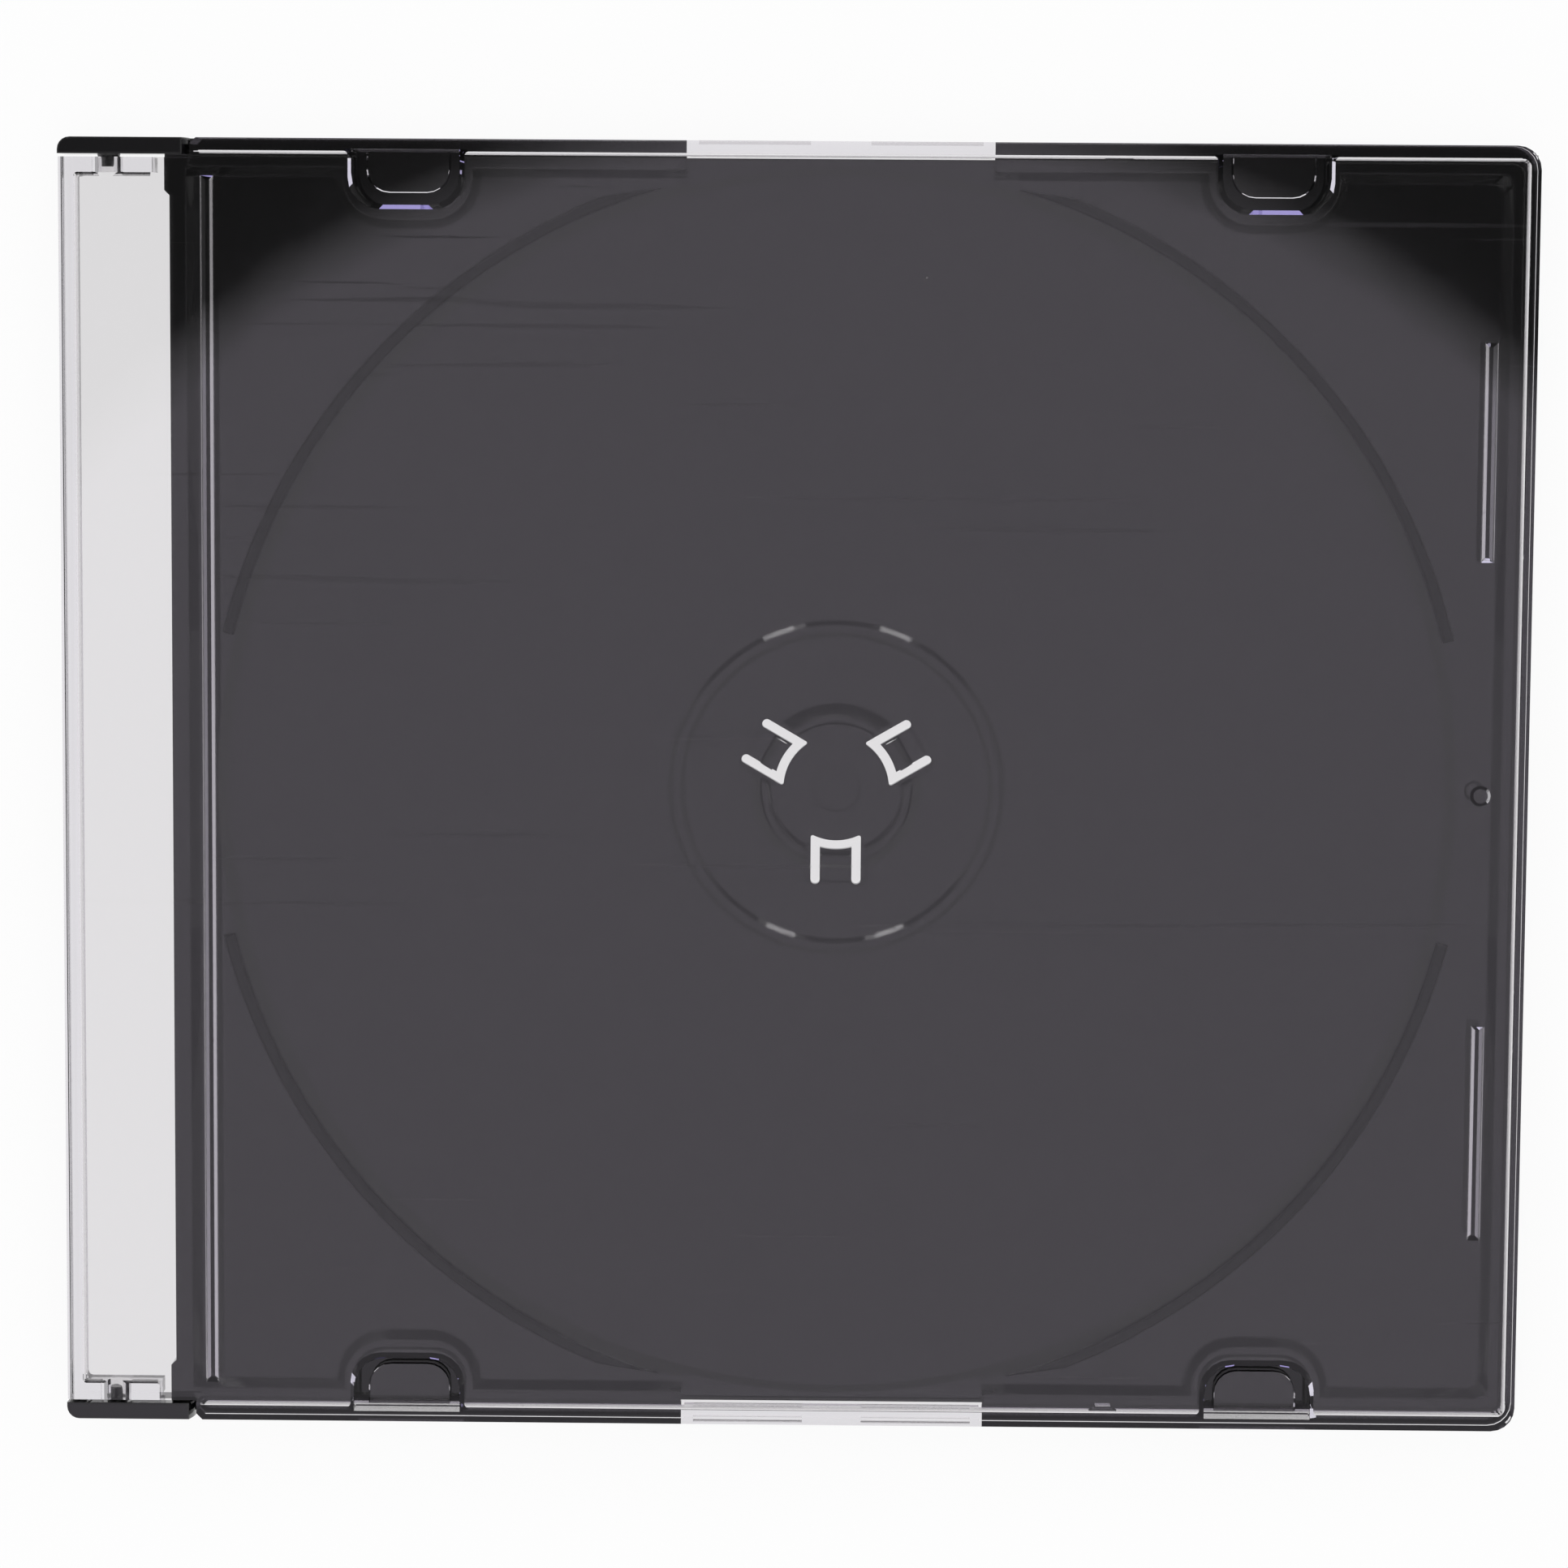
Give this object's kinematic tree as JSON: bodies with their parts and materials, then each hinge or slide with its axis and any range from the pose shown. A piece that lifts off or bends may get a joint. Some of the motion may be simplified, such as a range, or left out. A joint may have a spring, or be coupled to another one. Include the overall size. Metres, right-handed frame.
{
  "type": "slim disc case",
  "caption": "Slim hinged case for one optical disc, with a clear lid over a black tray with a central hub.",
  "frame": {"origin": "centre of the closed case's back, on the surface that it lies on", "axes": "+X from the spine to the opening side, +Y along the spine, +Z out of the lid"},
  "size_m": [0.142, 0.125, 0.0052],
  "materials": {
    "clear_lid": "gloss",
    "black_tray": "satin"
  },
  "bodies": {
    "tray_body": {"tray": "black_tray"},
    "lid_body": {"lid": "clear_lid"}
  },
  "joints": [
    {"name": "lid_hinge", "type": "hinge", "parent": "tray_body", "child": "lid_body", "pos_m": [-0.0664, 0, 0.0026], "axis": [0, -1, 0], "range_deg": [0, 180]}
  ]
}
